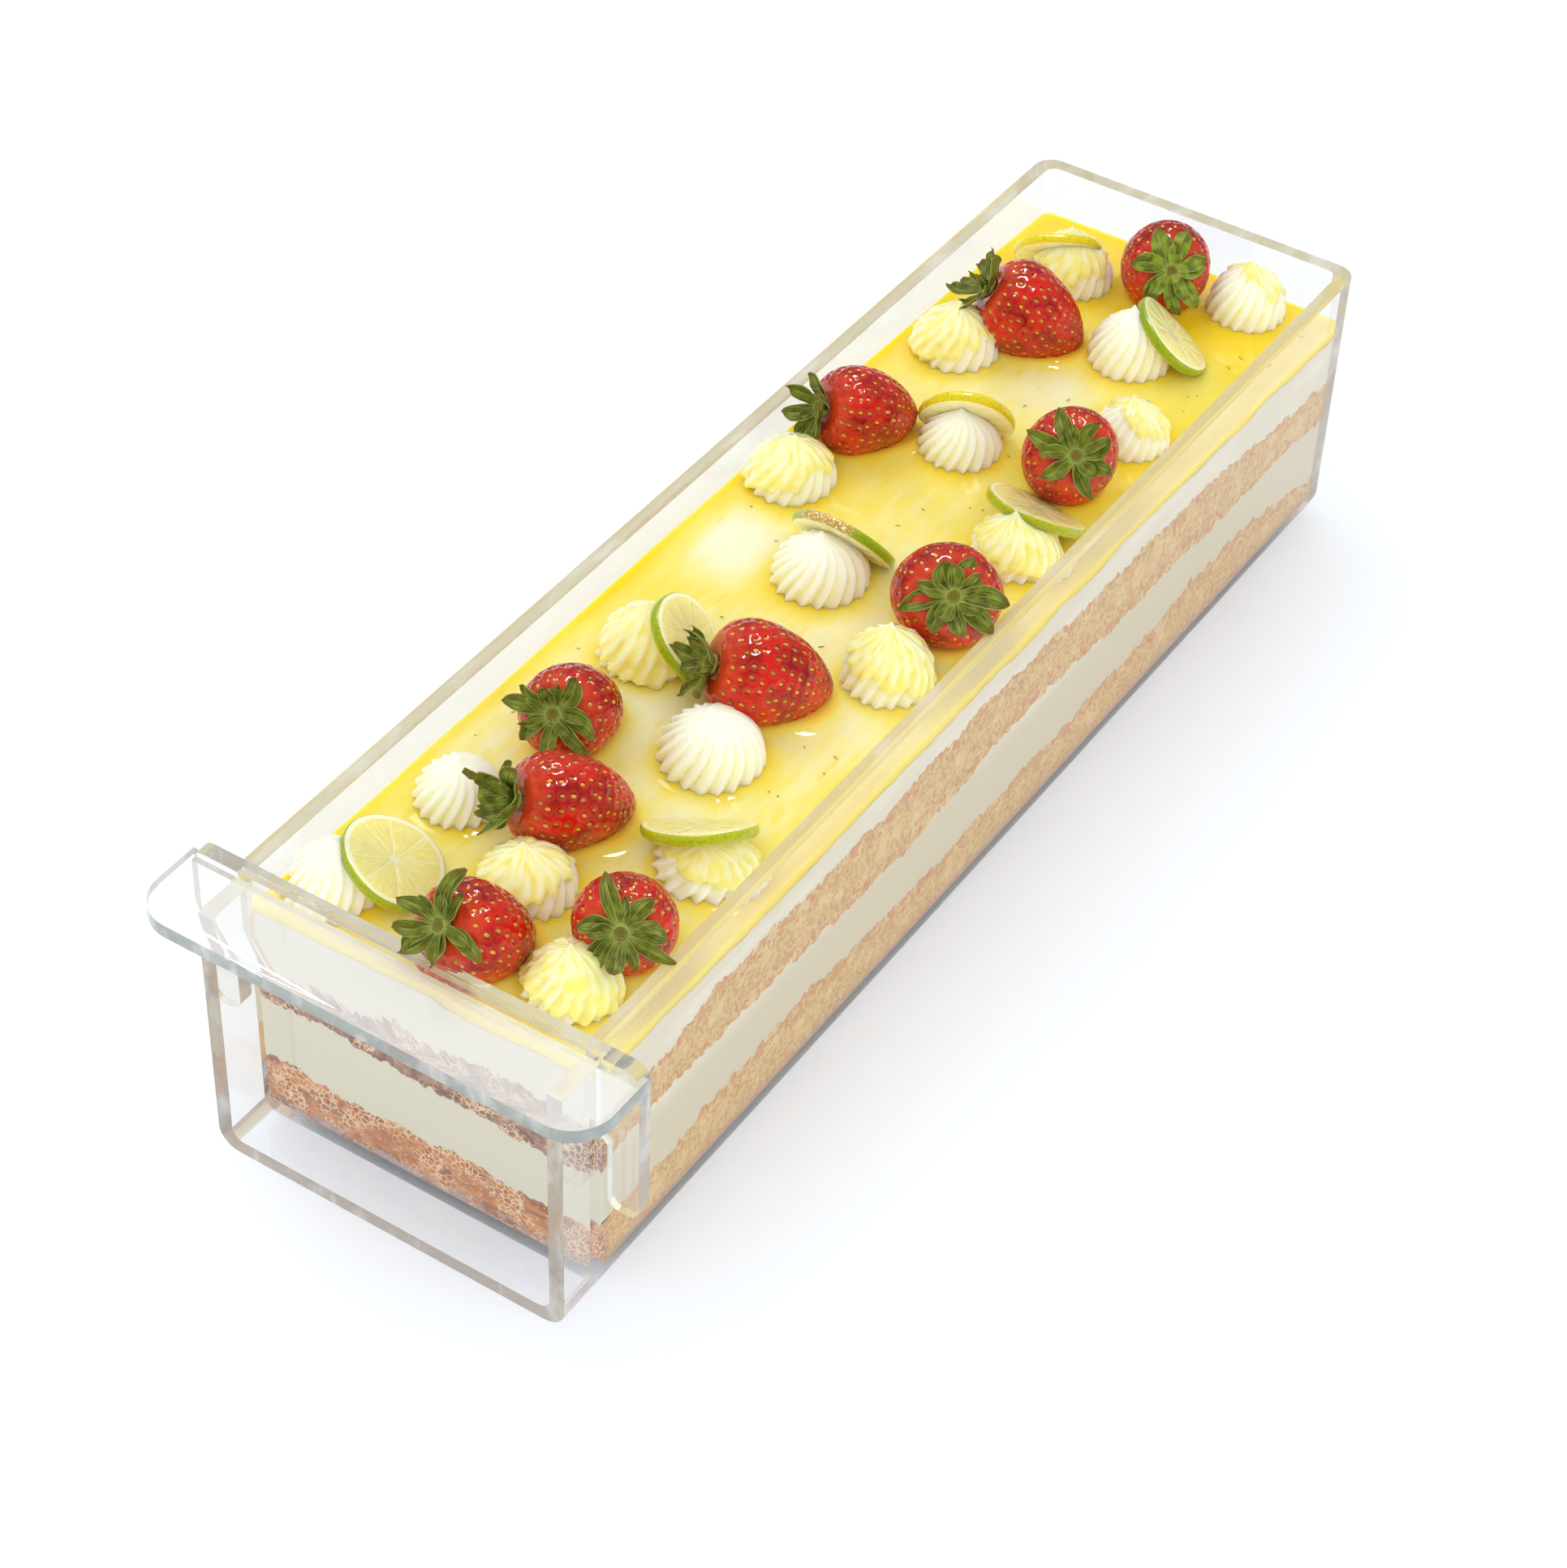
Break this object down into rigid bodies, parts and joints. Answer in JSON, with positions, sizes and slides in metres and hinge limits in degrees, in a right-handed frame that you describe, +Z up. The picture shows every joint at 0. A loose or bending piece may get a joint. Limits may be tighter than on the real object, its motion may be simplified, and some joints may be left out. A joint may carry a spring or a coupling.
{
  "type": "layered lemon cream cake in a clear tray",
  "caption": "Long layered lemon cream cake in a clear tray with a hooked-on handle ledge, topped with piped cream kisses, strawberries and lime slices.",
  "frame": {"origin": "on the floor under the middle of the whole part, handle ledge included", "axes": "+Z up, +Y along the tray away from the handle, +X across the tray"},
  "size_m": [0.15, 0.461, 0.1152],
  "materials": {
    "clear_acrylic": "polished clear sheet",
    "sponge_crumb": "dry open crumb with toasted edges",
    "layer_cream": "smooth whipped cream pressed against the wall",
    "lemon_glaze": "glossy poured glaze, marbled",
    "kiss_cream": "piped cream, soft sheen",
    "strawberry_red": "glazed fresh fruit",
    "calyx_green": "fresh leaf",
    "lime_green": "cut citrus, moist"
  },
  "bodies": {
    "root": {"tray": "clear_acrylic", "handle": "clear_acrylic", "sponge_lower": "sponge_crumb", "cream_lower": "layer_cream", "sponge_upper": "sponge_crumb", "cream_upper": "layer_cream", "glaze": "lemon_glaze", "kiss_01": "kiss_cream", "kiss_02": "kiss_cream", "kiss_03": "kiss_cream", "kiss_04": "kiss_cream", "kiss_05": "kiss_cream", "kiss_06": "kiss_cream", "kiss_07": "kiss_cream", "kiss_08": "kiss_cream", "kiss_09": "kiss_cream", "kiss_10": "kiss_cream", "kiss_11": "kiss_cream", "kiss_12": "kiss_cream", "kiss_13": "kiss_cream", "kiss_14": "kiss_cream", "kiss_15": "kiss_cream", "kiss_16": "kiss_cream", "kiss_17": "kiss_cream", "strawberry_01": "strawberry_red", "strawberry_02": "strawberry_red", "strawberry_03": "strawberry_red", "strawberry_04": "strawberry_red", "strawberry_05": "strawberry_red", "strawberry_06": "strawberry_red", "strawberry_07": "strawberry_red", "strawberry_08": "strawberry_red", "strawberry_09": "strawberry_red", "strawberry_10": "strawberry_red", "calyx_01": "calyx_green", "calyx_02": "calyx_green", "calyx_03": "calyx_green", "calyx_04": "calyx_green", "calyx_05": "calyx_green", "calyx_06": "calyx_green", "calyx_07": "calyx_green", "calyx_08": "calyx_green", "calyx_09": "calyx_green", "calyx_10": "calyx_green", "lime_01": "lime_green", "lime_02": "lime_green", "lime_03": "lime_green", "lime_04": "lime_green", "lime_05": "lime_green", "lime_06": "lime_green", "lime_07": "lime_green", "lime_08": "lime_green"}
  },
  "joints": []
}
